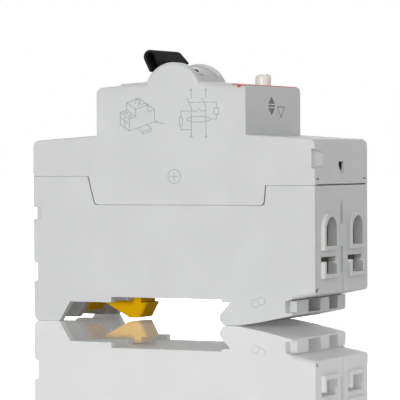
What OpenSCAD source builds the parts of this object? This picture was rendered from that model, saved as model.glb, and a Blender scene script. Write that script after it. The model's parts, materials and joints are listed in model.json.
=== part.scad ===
// Two-pole residual current device for a 35 mm rail.
// X runs along the device from the rail clip to the rail hook, Y across its two modules, Z from the feet up.
// The model rests in the off position: handle towards the clip, contacts open, terminals open.

/* [Housing] */
// Length of the body over its end faces
body_l = 85; // [80:0.5:95]
// Width of the body, two modules
body_w = 35; // [34:0.5:44]
// Length of the raised front block
front_l = 45; // [43:0.5:48]
// Height of the rail seat above the feet
rail_z = 6.9; // [6.6:0.1:8]
// Height of the shoulders where they meet the front block
shoulder_z = 50.85; // [49.5:0.05:54]
// Fall of the shoulders towards the end faces
shoulder_drop = 1.2; // [0.5:0.1:2]
// Height of the crown of the front block
front_z = 65.2; // [64.5:0.1:70]
// Fall of the front face from the crown to the ends of the block
front_drop = 1.3; // [0.8:0.1:2]
// Rounding of the outer edges
edge_r = 1.9; // [0.8:0.1:2.2]
// Rounding where the hump rises from the front face
hump_fillet = 1.5; // [0.8:0.1:2]
// Rounding of the two rims of the hump
hump_round = 1; // [0.6:0.1:1.4]
// Thickness of the side and top walls
wall = 1.8; // [1.4:0.1:2.2]
// Thickness of the end walls
end_wall = 2.2; // [1.8:0.1:2.6]

/* [Split line] */
// Height of the split at the clip end
split_clip_z = 39.7; // [38.5:0.1:40]
// Height of the split at the hook end
split_hook_z = 37.3; // [36.5:0.1:39]
// Height of the lower edge of the cover's side tongue
tongue_z = 32; // [31.5:0.1:34]
// Visible gap between cover and base
seam = 0.1; // [0.06:0.02:0.3]
// Width of the seam down the two steps of the split
step_seam = 0.3; // [0.1:0.02:0.4]

/* [Rail] */
// Width of the mounting rail
rail_w = 35; // [35:0.1:35.6]
// Play of the rail between the hook and the stop
rail_play = 0.8; // [0.4:0.1:1.2]
// Depth of the stop beside the rail
stop_h = 1.5; // [1.2:0.1:1.8]
// Release travel of the clip
clip_travel = 4.6; // [3.8:0.1:5]
// Width of the clip's nose
nose_w = 8.4; // [7:0.1:9]
// Rounding of the upright edges of the clip's nose
nose_r = 1.2; // [0.8:0.1:1.6]
// Width of the clip's body
clip_w = 9.4; // [9.2:0.1:10]

/* [Toggle] */
// Radius of the hump over the toggle drum
hump_r = 8.4; // [8.2:0.1:9.2]
// Depth of the toggle axis below the crown
pivot_depth = 3.2; // [2.8:0.1:4]
// Offset of the toggle axis from the middle of the body
pivot_x = 0.5; // [-1:0.1:1]
// Thickness of the side wall beside the drum
cheek_t = 3.2; // [2.8:0.1:3.6]
// Thickness of the hump's shell over the drum
hump_wall = 0.7; // [0.6:0.05:1]
// Lean of the handle from upright, to either side
lean = 35; // [30:1:38]
// Distance from the toggle axis to the centre of the handle's tip
handle_reach = 12.2; // [11.5:0.1:14]
// Radius of the handle's tip
handle_tip_r = 1.9; // [1.6:0.05:2.2]
// Thickness of the handle at its root
handle_root = 4.8; // [4.4:0.1:5]
// Wall of the hollow ends of the handle
handle_wall = 0.6; // [0.5:0.05:0.9]
// Diameter of the toggle axle
axle_d = 2.5; // [2:0.1:2.6]
// Radius of the drum's crank
crank = 4.5; // [4.3:0.1:4.8]
// Diameter of the crank pin
crank_pin_d = 2.2; // [1.8:0.1:2.4]

/* [Terminals] */
// Distance from the end face to the axis of a terminal screw
screw_setback = 9; // [8.6:0.1:9.4]
// Width of a cable entry
cable_w = 7.2; // [6.4:0.1:7.6]
// Height of a cable entry
cable_h = 7.7; // [7:0.1:8]
// Height of the busbar gap in an open terminal
bus_gap = 5.2; // [5:0.1:5.6]
// Height that the raised rims stand out from the end face
rim_h = 1.1; // [0.6:0.1:1.4]
// Width of a rim's border
rim_b = 1.2; // [0.9:0.1:1.5]
// Diameter of the screw's thread
screw_d = 5; // [4.5:0.1:5.2]
// Diameter of the screw's head
head_d = 7.4; // [6.8:0.1:7.6]
// Height of the screw's head
head_h = 3.2; // [2.6:0.1:3.6]
// Travel of a cage from open to closed
cage_travel = 4.6; // [4:0.1:4.8]
// Thickness of the cage's walls
cage_t = 1.2; // [1:0.1:1.3]
// Thickness of the copper straps
strap_t = 1.2; // [1:0.1:1.4]

/* [Mechanism] */
// Height of the contact carrier's shaft above the rail seat
carrier_rise = 22.1; // [21.8:0.1:22.6]
// Diameter of the carrier shaft
shaft_d = 3; // [2.4:0.1:3.2]
// Radius from the carrier shaft to the contact tips
contact_arm = 19.5; // [18:0.1:20.5]
// Diameter of a contact tip
tip_d = 3.2; // [2.6:0.1:3.8]
// Outer diameter of the sensor ring
ring_d = 24; // [22:0.1:24.4]
// Inner diameter of the sensor ring
ring_bore = 11; // [10.8:0.1:12]
// Length of the sensor ring
ring_l = 10; // [8:0.1:10.4]
// Travel of the relay's plunger
plunger_travel = 1.5; // [1:0.1:1.8]

/* [Test button] */
// Diameter of the test button
button_d = 4.4; // [4.2:0.1:5.2]
// Height of the test button above the front face
button_h = 3; // [2.4:0.1:3.6]
// Travel of the test button
button_travel = 1.3; // [1:0.1:1.5]
// Thickness of the front label
label_t = 0.15; // [0.1:0.05:0.4]

/* [Hidden] */
$fn = 64;

// Clearances: between pieces of one body, of moving pieces, of a running fit and of a push button
fit = 0.05;
gap = 0.3;
run = 0.05;
slip = 0.15;

// Halves of the main sizes, and the inside of the walls
hx = body_l / 2;
hy = body_w / 2;
fx = front_l / 2;
iy = hy - wall;
ix = hx - end_wall;
ifx = fx - wall;
pole_y = body_w / 4;

// Floors above the rail seat, the low one under the sensor ring
floor_t = 2.3;
clip_room = 2.6;
low_floor = rail_z + floor_t;
term_floor = rail_z + clip_room + 1.7;

// Rail channel: the hook's face, the stop at the clip end, and the clip's tip
hook_x = rail_w / 2;
stop_x = hook_x - rail_w - rail_play;
tip_x = stop_x + clip_travel - 0.7;
low_floor_x = stop_x + 5;
foot_wall = 2.3;
rib_t = 2.9;
channel_y = clip_w / 2 + gap;

// Outline of the front and shoulders
shoulder_end_z = shoulder_z - shoulder_drop;
front_end_z = front_z - front_drop;
crown_x = 8;
step_x = 15.4;
step_h = 0.5;
step_z = front_end_z + 0.9;
front_slope = atan(front_drop / (fx - crown_x));
step_slope = atan((front_z - step_z) / (step_x - crown_x));
shoulder_slope = atan(shoulder_drop / (hx - fx));
well_z = shoulder_end_z - 1.9;

// Terminal stack, from the chamber's floor up
screw_x = hx - screw_setback;
cage_z = term_floor + 0.4;
bar_h = 1.7;
bus_tongue_z = cage_z + bar_h + bus_gap;
mid_z = bus_tongue_z + strap_t + 0.2;
mid_h = 1.3;
cable_z = mid_z + mid_h + 0.1;
cable_tongue_z = cable_z + cable_h + 0.8;
top_z = cable_tongue_z + strap_t + 1.2;
top_h = 3;
ledge_z = top_z + top_h + cage_travel + 0.4;
ledge_h = 1.7;
head_z = ledge_z + ledge_h + 0.1;
well_d = head_d + 0.8;
cage_l = 7.8;
cage_in = cable_w / 2 + 0.9;
cage_out = cage_in + cage_t;
tongue_w = 2 * (cage_in - gap);
riser_x = screw_x - cage_l / 2 - 0.5 - strap_t;
part_t = 1.6;
part_x = riser_x - part_t;
lug_in = pole_y + max(cage_out, well_d / 2 + 1.4) + gap;
lug_out = iy - 0.2;
bus_z = cage_z + bar_h + 0.6;
bus_h = 3.3;

// Toggle and contact carrier
pivot_z = front_z - pivot_depth;
drum_room_r = hump_r - hump_wall;
drum_r = drum_room_r - gap;
cheek_near = -hy + cheek_t;
cheek_far = -1.3;
hump_far = 0.3;
drum_y0 = cheek_near + gap;
drum_y1 = cheek_far - gap;
fork_y0 = drum_y1 - 4.4;
fork_y1 = fork_y0 + 3;
slot_half = lean + 20;
carrier_z = rail_z + carrier_rise;
swing = atan(crank * sin(lean) / (pivot_z - carrier_z - crank * cos(lean)));
hub_r = 3.4;
block_h = 4;
arm_t = 1.6;
arm_w = 4;
arm_x = 3.3;
tip_h = 1;
tip_reach = arm_x + tip_h;
contact_face = pivot_x - tip_reach * cos(swing) - contact_arm * sin(swing) - tip_d / 2 * sin(swing) - 0.15;
contact_z = carrier_z + contact_arm * cos(swing) - tip_reach * sin(swing);
upright_w = 5;

// Sensor ring, behind the carrier
ring_x = pivot_x + hub_r + 3.6;
ring_z = low_floor + ring_d / 2 + gap;
bar_y0 = 0.7;
bar_y1 = 4.5;
strap_end_x = ring_x - 2.5;

// Bracket above the ring, with relay, trip lever and test contact
shelf_z = ring_z + ring_d / 2 + 1.2;
shelf_t = 1.8;
shelf_x = ring_x + 1.1;
deck_z = shelf_z + shelf_t;
relay_x = shelf_x + 3.4;
relay_l = 11.6;
relay_h = 11.6;
relay_y0 = -iy + 1.2;
relay_w = 11;
plunger_d = 2.4;
plunger_in = 6;
plunger_y = relay_y0 + relay_w / 2;
plunger_z = deck_z + 6.6;
lever_t = 1.6;
lever_x = relay_x - plunger_travel - lever_t - 0.4;
lever_w = 4;
lever_arm = 9;
trip_pin_z = plunger_z + lever_arm;
trip_pin_d = 1.6;

// Test button over the far module, above its shelf and leaf
button_y = pole_y;
button_x = fx - 7.2;
button_z = front_end_z + (fx - button_x) * tan(front_slope);
inner_top = front_end_z - wall - 0.3;
guide_z = inner_top - 6.8;
guide_t = 1.3;
flange_t = 1;
stem_end = guide_z - 0.6;
stem_d = 2.6;
leaf_z = stem_end - button_travel - 0.6;
leaf_t = 0.4;
leaf_w = 2.6;
resistor_d = 3.2;
lead_d = 0.7;
resistor_y = iy - resistor_d / 2 - 1;
resistor_x0 = relay_x + 1.5;
resistor_x1 = part_x - 0.8;
pillar_y = resistor_y - resistor_d / 2 - gap;
pillar_w = 5;

// Extrudes a drawing of the X-Z plane across the body
module across(y0, y1) {
    translate([0, y1, 0])
        rotate([90, 0, 0])
            linear_extrude(y1 - y0)
                children();
}

// Extrudes a drawing of the Y-Z plane along the body
module along(x0, x1) {
    translate([x0, 0, 0])
        rotate([90, 0, 90])
            linear_extrude(x1 - x0)
                children();
}

// A block between two limits on each axis
module block(x, y, z) {
    translate([x[0], y[0], z[0]])
        cube([x[1] - x[0], y[1] - y[0], z[1] - z[0]]);
}

// Round bars along each axis
module bar_x(y, z, d, x0, x1) {
    translate([x0, y, z])
        rotate([0, 90, 0])
            cylinder(d = d, h = x1 - x0);
}

module bar_y(x, z, d, y0, y1) {
    translate([x, y1, z])
        rotate([90, 0, 0])
            cylinder(d = d, h = y1 - y0);
}

module bar_z(x, y, d, z0, z1) {
    translate([x, y, z0])
        cylinder(d = d, h = z1 - z0);
}

// Turns its children about an axis along Y
module turn_y(x, z, angle) {
    translate([x, 0, z])
        rotate([0, angle, 0])
            translate([-x, 0, -z])
                children();
}

// Both modules, both ends
module each_pole() {
    for (side = [-1, 1])
        translate([0, side * pole_y, 0])
            children();
}

module each_end() {
    children();
    mirror([1, 0, 0])
        children();
}

// Points on an arc
function arc(c, r, from, to, n = 8) =
    [for (i = [0 : n]) c + r * [cos(from + (to - from) * i / n), sin(from + (to - from) * i / n)]];

// A round tube along a path, with its rings square to the path
function unit(v) = v / norm(v);
function ring(p, before, after, r, sides, ref) =
    let (d = unit(after - before), u = unit(cross(ref, d)), v = cross(d, u))
    [for (k = [0 : sides - 1]) p + r * (cos(360 * k / sides) * u + sin(360 * k / sides) * v)];

module tube(path, r, sides, ref) {
    last = len(path) - 1;
    points = [
        for (i = [0 : last])
            each ring(path[i], path[max(i - 1, 0)], path[min(i + 1, last)], r, sides, ref)
    ];
    skin = [
        for (i = [0 : last - 1], k = [0 : sides - 1])
            let (a = i * sides + k, b = i * sides + (k + 1) % sides)
            each [[a, b + sides, b], [a, a + sides, b + sides]]
    ];
    caps = [
        for (k = [1 : sides - 2])
            each [[0, k, k + 1], [last * sides, last * sides + k + 1, last * sides + k]]
    ];
    polyhedron(points, concat(skin, caps), convexity = 8);
}

// A coil spring about Z, standing on z = 0, with a wire of the given thickness
module coil(r, wire, height, turns) {
    steps = turns * 10;
    rise = height - wire;
    path = [
        for (i = [0 : steps])
            [r * cos(36 * i), r * sin(36 * i), wire / 2 + rise * i / steps]
    ];
    tube(path, wire / 2, 6, [0, 0, 1]);
}

// Outline of the body without the hump and the feet
module body_outline() {
    corner = [hx - edge_r, shoulder_end_z - edge_r];
    polygon(concat(
        [[-hx, rail_z], [hx - 8.6, rail_z], [hx, rail_z + 1.75]],
        arc(corner, edge_r, 0, 85),
        [[fx, shoulder_z], [fx, front_end_z], [crown_x, front_z], [-crown_x, front_z]],
        [[-step_x, step_z], [-step_x, step_z - step_h]],
        arc([-fx + edge_r, front_end_z - edge_r], edge_r, 96, 180),
        [[-fx, shoulder_z]],
        arc([-corner[0], corner[1]], edge_r, 95, 180)
    ));
}

// Rounds the long edges of a top face that slopes away from the point x, z
module round_edges(x, z, slope, x0, x1, r, sides = [-1, 1]) {
    turn_y(x, z, slope)
        along(x0, x1)
            for (side = sides)
                translate([side * (hy - r + fit), z - r + fit])
                    difference() {
                        translate([(side - 1) * (r + 1) / 2, 0])
                            square(r + 1);
                        circle(r);
                    }
}

module body_solid() {
    difference() {
        across(-hy, hy)
            body_outline();
        round_edges(crown_x, front_z, front_slope, crown_x, fx + 2, edge_r);
        round_edges(0, front_z, 0, -crown_x, crown_x, edge_r);
        round_edges(-crown_x, front_z, -step_slope, -fx - 2, -crown_x, edge_r);
        each_end()
            round_edges(fx, shoulder_z, shoulder_slope, fx + 0.1, hx + 2, 0.8);
    }
}

// Cutter that rounds one rim of the hump, turned about the toggle axis; way is -1 for the near rim
module hump_rim(y, way) {
    translate([pivot_x, 0, pivot_z])
        rotate([90, 0, 0])
            rotate_extrude()
                translate([hump_r - hump_round + fit, -y + way * (hump_round - fit)])
                    difference() {
                        translate([0, -(way + 1) * 1.5])
                            square(3);
                        circle(hump_round);
                    }
}

// Hump over the toggle drum, with rounded rims and a fillet on the clip side
module hump_solid() {
    rise = front_z + hump_fillet - pivot_z;
    run_out = sqrt(pow(hump_r + hump_fillet, 2) - pow(rise, 2));
    tangent = 360 - atan(rise / run_out);
    difference() {
        union() {
            bar_y(pivot_x, pivot_z, 2 * hump_r, -hy, hump_far);
            across(-hy, hump_far)
                translate([pivot_x, pivot_z])
                    polygon(concat(
                        arc([-run_out, rise], hump_fillet, 270, tangent - 5),
                        [[0, 0], [-run_out, rise - hump_fillet - 1]]
                    ));
        }
        hump_rim(-hy, -1);
        hump_rim(hump_far, 1);
    }
}

// Hollow of the body: the two chamber ends, the middle and the front block
module cavity() {
    across(-iy, iy)
        polygon([
            [-ix, term_floor], [low_floor_x, term_floor], [low_floor_x, low_floor],
            [part_x, low_floor], [part_x, term_floor], [ix, term_floor],
            [ix, well_z], [ifx, shoulder_z - wall],
            [ifx, front_end_z - wall], [crown_x, front_z - wall], [-crown_x, front_z - wall],
            [-ifx, front_end_z - wall], [-ifx, shoulder_z - wall], [-ix, well_z]
        ]);
}

// Everything below the stepped split line, on the base's side of the seam (-1) or on the cover's side (1)
module below_split(way) {
    step = way * step_seam / 2;
    across(-hy - 2, hy + 2)
        translate([0, way * seam / 2])
            polygon(concat(
                [[-hx - 2, -20], [hx + 2, -20], [hx + 2, split_hook_z]],
                [[hx - 14.2 - step, split_hook_z], [hx - 14.6 - step, tongue_z + 1.2]],
                arc([hx - 15.7 - step, tongue_z + 1.1], 1.1, 0, -90, 5),
                arc([-hx + 20.1 + step, tongue_z + 1.1], 1.1, 270, 195, 5),
                [[-hx + 17.2 + step, split_clip_z], [-hx - 2, split_clip_z]]
            ));
}

// Foot and rib outline at the clip end, lifted off the ground for the ribs
module foot_outline(lift) {
    polygon(concat(
        arc([-hx + 1.3, 1 + lift], 1, 180, 270, 4),
        [[stop_x - 16.2, lift], [stop_x - 12.8, rail_z - stop_h], [stop_x, rail_z - stop_h]],
        [[stop_x, rail_z + 0.1], [-hx, rail_z + 0.1], [-hx, 1.3 + lift]]
    ));
}

// Rail hook with its sloping foot at the other end
module hook_outline() {
    polygon(concat(
        [[hook_x - 2.6, rail_z + 0.1], [hook_x - 2.2, rail_z - 0.55], [hook_x - 1.6, rail_z - 0.7]],
        [[hook_x, rail_z - 0.7], [hook_x, rail_z - 1], [hook_x - 2.9, rail_z - 4.1], [hook_x - 2.8, 1.1]],
        arc([hook_x - 1.2, 1.2], 1.2, 190, 270, 4),
        [[hook_x + 3, 0.1], [hook_x + 9.6, 1.2], [hx - 6.6, rail_z - 3.8], [hx - 6.6, rail_z + 0.1]]
    ));
}

// Arched cable entry and T-shaped busbar slot, drawn in the Y-Z plane about a pole
module arch(grow) {
    r = cable_w / 2 + grow;
    translate([-r, cable_z - grow])
        square([2 * r, cable_h + 2 * grow - r]);
    translate([0, cable_z + cable_h + grow - r])
        circle(r);
}

module bus_slot() {
    translate([-cable_w / 2, bus_z])
        square([cable_w, bus_h]);
    translate([-cable_w / 2 - rim_b, bus_z + bus_h])
        square([cable_w + 2 * rim_b, 1.2]);
}

module bus_rim() {
    difference() {
        translate([-cable_w / 2 - rim_b, bus_z - rim_b])
            square([cable_w + 2 * rim_b, bus_h + rim_b]);
        translate([-cable_w / 2, bus_z])
            square([cable_w, bus_h + 1]);
    }
}

// Partitions, cradle and posts that stand inside the base
module base_inside() {
    difference() {
        union() {
            for (end = [-1, 1]) {
                x = end * (part_x + part_t / 2);
                block([x - part_t / 2, x + part_t / 2], [-iy, iy], [low_floor - 0.1, tongue_z - 0.5]);
                block([x - part_t / 2, x + part_t / 2], [-iy + gap, iy - gap], [tongue_z - 0.6, shelf_z]);
                mid = end * (part_x + part_t + ix) / 2;
                half = (ix - part_x - part_t) / 2;
                block([mid - half, mid + half], [-1.5, 1.5], [low_floor - 0.1, split_hook_z - 0.4]);
            }
            for (side = [-1, 1]) {
                y = side * (iy - 1.4);
                block([shelf_x, shelf_x + 2], [y - 1.1, y + 1.1], [low_floor - 0.1, shelf_z]);
            }
        }
        half_w = upright_w / 2 + fit;
        each_pole()
            block([-ix, -part_x + 1], [-half_w, half_w], [cable_tongue_z, shelf_z + 1]);
        for (side = [-1, 1])
            translate([0, side * pole_y, 0])
                block([part_x - 1, ix], [-2 - fit, 2 + fit], [ring_z - strap_t / 2, shelf_z + 1]);
    }
    for (end = [0, 1]) {
        x = ring_x + 0.6 + end * (ring_l - 2.8);
        difference() {
            block([x, x + 1.6], [-ring_d / 2, ring_d / 2], [low_floor - 0.1, low_floor + ring_d / 4]);
            bar_x(0, ring_z, ring_d + 2 * fit, x - 1, x + 3);
        }
    }
    each_pole()
        block([contact_face - 8, contact_face - 5], [-2, 2], [low_floor - 0.1, cable_tongue_z]);
    lug_half = (lug_out - lug_in) / 2;
    for (end = [-1, 1], side = [-1, 1])
        translate([end * screw_x, side * (lug_in + lug_out) / 2, 0])
            block([-2.5, 2.5], [-lug_half, lug_half], [term_floor - 0.1, ledge_z + 1]);
}

// Notches in the corners of the clip end
module corner_notches() {
    for (side = [-1, 1]) {
        y = side * (hy - 1.25);
        across(y - 2.25, y + 2.25)
            polygon([
                [-hx - 1, bus_z - 3.1], [-hx, bus_z - 3.1], [-hx + 1.2, bus_z - 2.6],
                [-hx + 1.2, bus_z + 1.9], [-hx, bus_z + 2.4], [-hx - 1, bus_z + 2.4]
            ]);
        block([-hx - 1, -hx + 0.65], [y - 2.25, y + 2.25], [cable_z + 6.7, cable_z + 9.9]);
        pocket = side * (hy + 0.15);
        block([-hx - 1, -hx + 2.2], [pocket - 0.85, pocket + 0.85], [cable_z + 6.7, cable_z + 9.9]);
    }
}

module base_housing() {
    foot_slope = atan((rail_z - 5) / (hx - hook_x - 16.2));
    color("#d6d8d7")
    difference() {
        union() {
            difference() {
                intersection() {
                    body_solid();
                    below_split(-1);
                }
                cavity();
            }
            for (side = [-1, 1]) {
                y = side * (hy - foot_wall / 2);
                across(y - foot_wall / 2, y + foot_wall / 2)
                    foot_outline(0);
                rib = side * (channel_y + rib_t / 2);
                across(rib - rib_t / 2, rib + rib_t / 2)
                    foot_outline(0.6);
            }
            across(-hy, hy)
                hook_outline();
            base_inside();
            each_end()
                each_pole()
                    along(hx - 0.1, hx + rim_h) {
                        arch(rim_b);
                        bus_rim();
                    }
        }
        each_end() {
            each_pole() {
                along(ix - 0.1, hx + rim_h + 1) {
                    arch(0);
                    bus_slot();
                }
                // relief round the inner ends of the entries
                along(ix - 0.1, hx - 1.8) {
                    arch(0.7);
                    translate([-cable_w / 2 - 0.7, bus_z])
                        square([cable_w + 1.4, bus_h]);
                }
            }
            // wedge and slot between the modules, with the groove below them
            across(-0.8, 0.8)
                polygon([
                    [hx - 0.9, cable_z + 5.6], [hx + 1, cable_z + 5.6], [hx + 1, cable_z + 12.4],
                    [hx, cable_z + 12.4], [hx - 1.2, cable_z + 9]
                ]);
            block([hx - 0.9, hx + 1], [-0.7, 0.9], [bus_z, bus_z + 7]);
            block([hx - 0.3, hx + 1], [0.5, 0.9], [rail_z, bus_z + 1]);
        }
        corner_notches();
        // rounded lower edges of the hook end and of the hook's foot
        mirror([0, 0, 1]) {
            round_edges(hx - 8.6, -rail_z, atan(1.75 / 8.6), hx - 6.6, hx + 2, 1.4);
            round_edges(hook_x + 9.6, -1.2, foot_slope, hook_x + 11, hx, 1.2, [1]);
        }
        // mark beside the near corner
        along(hx - 1.8, hx + 1)
            polygon([
                [-hy + 0.5, low_floor + 0.3], [-hy + 1.2, low_floor], [-hy + 2.2, low_floor + 1.2],
                [-hy + 1, low_floor + 1]
            ]);
        // hollows under the clip end and the clip's guide
        for (side = [-1, 1]) {
            y = side * (channel_y + rib_t + hy - foot_wall) / 2;
            half = (hy - foot_wall - channel_y - rib_t) / 2;
            block([-hx + 1.5, stop_x - 1.5], [y - half, y + half], [-1, term_floor - 2.2]);
        }
        block([-hx - 1, stop_x - 1.2], [-channel_y, channel_y], [-1, rail_z + clip_room]);
        block([-hx - 1, stop_x - 1.7], [-channel_y - 1.5, channel_y + 1.5], [rail_z - 0.4, rail_z + 1.6]);
        // hollows in the end of the hook's foot
        block([hook_x + 7, hx], [-7.1, 1.2], [rail_z - 3.3, rail_z]);
        block([hook_x + 7, hx], [6.6, 12.6], [rail_z - 3.3, rail_z]);
        block([hx - 8.6, hx - 6], [-hy - 1, -hy + 3], [rail_z - 3.1, rail_z]);
        bar_y(pivot_x, carrier_z, shaft_d + 2 * fit, -iy - 0.9, iy + 0.9);
    }
}

module top_cover() {
    color("#d9dbda")
    difference() {
        union() {
            difference() {
                union() {
                    intersection() {
                        body_solid();
                        difference() {
                            block([-hx - 1, hx + 1], [-hy - 1, hy + 1], [tongue_z - 2, front_z + 5]);
                            below_split(1);
                        }
                    }
                    hump_solid();
                }
                cavity();
            }
            // cheeks that hold the toggle axle
            bar_y(pivot_x, pivot_z, 10, -iy - 0.1, cheek_near);
            bar_y(pivot_x, pivot_z, 10, cheek_far, hump_far);
            // guide shelf under the test button
            block([button_x - 4, ifx + 0.1], [button_y - 4, button_y + 4], [guide_z, guide_z + guide_t]);
            each_end()
                each_pole()
                    bar_z(screw_x, 0, well_d + 2.8, ledge_z, shoulder_end_z - 0.5);
        }
        bar_y(pivot_x, pivot_z, 2 * drum_room_r, cheek_near, cheek_far);
        bar_y(pivot_x, pivot_z, axle_d + 2 * fit, -hy + 1.3, hump_far - 0.4);
        across(cheek_near, cheek_far)
            translate([pivot_x, pivot_z])
                polygon([
                    [0, 0], 20 * [-sin(slot_half), cos(slot_half)], [-20, 20],
                    [20, 20], 20 * [sin(slot_half), cos(slot_half)]
                ]);
        each_end()
            each_pole() {
                bar_z(screw_x, 0, well_d, ledge_z + ledge_h, shoulder_z + 1);
                bar_z(screw_x, 0, screw_d + 0.4, ledge_z - 1, shoulder_z);
            }
        bar_z(button_x, button_y, button_d + 2 * slip, inner_top - 2, front_z + 1);
        bar_z(button_x, button_y, stem_d + 2 * slip, guide_z - 1, guide_z + 2);
        // seam groove, pocket, slits and corner notch of the hook end
        block([hx - 1.4, hx + 1], [-hy + 1.3, hy - 1], [split_hook_z - 1, split_hook_z + 0.3]);
        block([ix - 1, hx - 0.9], [-2.6, 2.4], [split_hook_z + 2.6, split_hook_z + 7]);
        block([hx - 0.5, hx + 1], [-1.9, 1.7], [split_hook_z + 3.1, split_hook_z + 6.3]);
        along(ix - 1, hx + 1)
            polygon([
                [-1.9, split_hook_z + 6.2], [0.7, split_hook_z + 3.7], [1.1, split_hook_z + 3.7],
                [1.4, split_hook_z + 6.2]
            ]);
        for (side = [-1, 1]) {
            y = side * (hy - 2);
            block([hx - 1.3, hx + 1], [y - 0.9, y + 0.9], [split_hook_z + 1.5, split_hook_z + 1.85]);
        }
        intersection() {
            along(hx - 2, hx + 1)
                polygon([
                    [-hy - 1, split_hook_z + 4.5], [-hy, split_hook_z + 4.5], [-hy + 6, split_hook_z + 5.4],
                    [-hy + 6, split_hook_z + 8.5], [-hy, split_hook_z + 9.6], [-hy - 1, split_hook_z + 9.6]
                ]);
            translate([0, 0, split_hook_z])
                linear_extrude(12)
                    polygon([
                        [hx - 0.95, -hy - 2], [hx + 0.1, -hy - 2], [hx + 0.1, -hy + 5.9], [hx - 0.95, -hy + 2.1]
                    ]);
        }
    }
}

// Rounded outline of the front across the body
module front_across(half, top, r) {
    translate([-half, 0])
        square([2 * half, top - r]);
    translate([-half + r, 0])
        square([2 * (half - r), top]);
    for (side = [-1, 1])
        translate([side * (half - r), top - r])
            circle(r);
}

// Red strip that wraps over the long edges of the front, with a small point on each side
module front_label() {
    x0 = fx - 4.6;
    x1 = fx - 0.4;
    low = front_end_z - 0.12;
    fall = tan(front_slope);
    color("#d8463c")
    difference() {
        turn_y(crown_x, front_z, front_slope)
            along(crown_x, fx + 4)
                front_across(hy + label_t, front_z + label_t, edge_r + label_t);
        body_solid();
        across(-hy - 1, hy + 1)
            polygon([
                [0, -9], [fx + 9, -9], [fx + 9, front_z + 1], [x1, front_z + 1], [x1, low + (fx - x1) * fall],
                [fx - 1.3, low + 1.3 * fall], [fx - 2.1, low - 0.55], [fx - 2.9, low + 2.9 * fall],
                [x0, low + (fx - x0) * fall], [x0, front_z + 1], [0, front_z + 1]
            ]);
        bar_z(button_x, button_y, button_d + 2, 0, front_z + 2);
    }
}

module din_clip() {
    color("#ebb400")
    difference() {
        union() {
            across(-clip_w / 2, clip_w / 2)
                polygon([
                    [-hx + 1.2, 2.2], [stop_x - 14.8, 2.2], [stop_x - 12.4, 5.8],
                    [stop_x - 6.2, 5.8], [stop_x - 6.2, rail_z + 2.3], [-hx + 1.2, rail_z + 2.3]
                ]);
            across(-nose_w / 2, nose_w / 2)
                polygon(concat(
                    [[stop_x - 9.1, rail_z - 2.3]],
                    arc([stop_x - 1, 2.5], 2, 240, 272, 4),
                    arc([tip_x - 2.9, 1.5], 1, 276, 332, 5),
                    [[tip_x, rail_z - 2.15], [tip_x - 1.7, rail_z - 2.15], [tip_x - 1.7, rail_z - 0.5]],
                    [[stop_x - 6.3, rail_z - 0.5], [stop_x - 9.1, rail_z - 0.5]]
                ));
            wing = channel_y + 1.2;
            block([-hx + 2.5, stop_x - 7.2], [-wing, wing], [rail_z - 0.1, rail_z + 1.3]);
        }
        for (side = [-1, 1])
            translate([0, side * 2.4, 0])
                block([-hx + 5.2, stop_x - 8], [-0.5, 0.5], [-1, rail_z + 3]);
        block([-hx + 2.4, -hx + 4.4], [-2, 2], [-1, rail_z + 3]);
        // rounded edges beside the nose's slanted face
        for (side = [-1, 1])
            translate([tip_x, side * nose_w / 2, rail_z - 2.15])
                rotate([0, 28.5, 0])
                    linear_extrude(14, center = true)
                        difference() {
                            translate([-nose_r, (side - 1) / 2 - nose_r * (side + 1) / 2])
                                square(nose_r + 1);
                            translate([fit - nose_r, side * (fit - nose_r)])
                                circle(nose_r);
                        }
    }
}

module test_button() {
    color("#ebe8e1")
    translate([button_x, button_y, 0])
        rotate_extrude()
            polygon(concat(
                [[0, stem_end], [stem_d / 2, stem_end], [stem_d / 2, inner_top - flange_t - 0.2]],
                [[button_d / 2 + 1, inner_top - flange_t - 0.2], [button_d / 2 + 1, inner_top - 0.2]],
                [[button_d / 2, inner_top - 0.2]],
                arc([button_d / 2 - 0.9, button_z + button_h - 0.9], 0.9, 0, 90, 6),
                [[0, button_z + button_h]]
            ));
}

module button_spring() {
    color("silver")
    translate([button_x, button_y, guide_z + guide_t + 0.1])
        coil(2, 0.5, inner_top - flange_t - 0.2 - guide_z - guide_t - 0.2, 5);
}

// The handle's drawing stands upright about the toggle axis and is turned to its rest
module handle_outline(inset, foot) {
    r = handle_tip_r - inset;
    base = handle_root / 2 - inset;
    rise = handle_reach - foot;
    tilt = acos(r / norm([base, rise])) - atan2(rise, base);
    lift = handle_reach + (r - 0.01) * sin(tilt);
    half = (r - 0.01) * cos(tilt);
    polygon([[-base, foot], [base, foot], [half, lift], [-half, lift]]);
    translate([0, handle_reach])
        circle(r);
}

module at_toggle() {
    turn_y(pivot_x, pivot_z, -lean)
        translate([pivot_x, 0, pivot_z])
            children();
}

module toggle_handle() {
    color("#282626")
    at_toggle() {
        difference() {
            across(-hy + 0.9, cheek_far + 0.5)
                handle_outline(0, hump_r + 0.5);
            across(-hy, -hy + 6)
                handle_outline(handle_wall, hump_r);
            across(cheek_far - 5, cheek_far + 1)
                handle_outline(handle_wall, hump_r);
        }
        block([-2, 2], [drum_y0 + 0.4, drum_y1 - 0.4], [drum_r - 1.4, hump_r + 1.1]);
    }
}

module toggle_drum() {
    color("#cfd1d0")
    at_toggle() {
        difference() {
            bar_y(0, 0, 2 * drum_r, drum_y0, drum_y1);
            bar_y(0, 0, axle_d + 2 * run, drum_y0 - 1, drum_y1 + 1);
            bar_y(0, 0, 7.2, drum_y0 - 1, drum_y0 + 3);
            block([-2 - fit, 2 + fit], [drum_y0 + 0.35, drum_y1 - 0.35], [drum_r - 1.4, drum_r + 1]);
            block([-9, 9], [fork_y0 - gap, fork_y1 + gap], [-9, -axle_d / 2 - 0.65]);
        }
        bar_y(0, -crank, crank_pin_d, fork_y0 - gap - 0.1, fork_y1 + gap + 0.1);
    }
}

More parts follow.
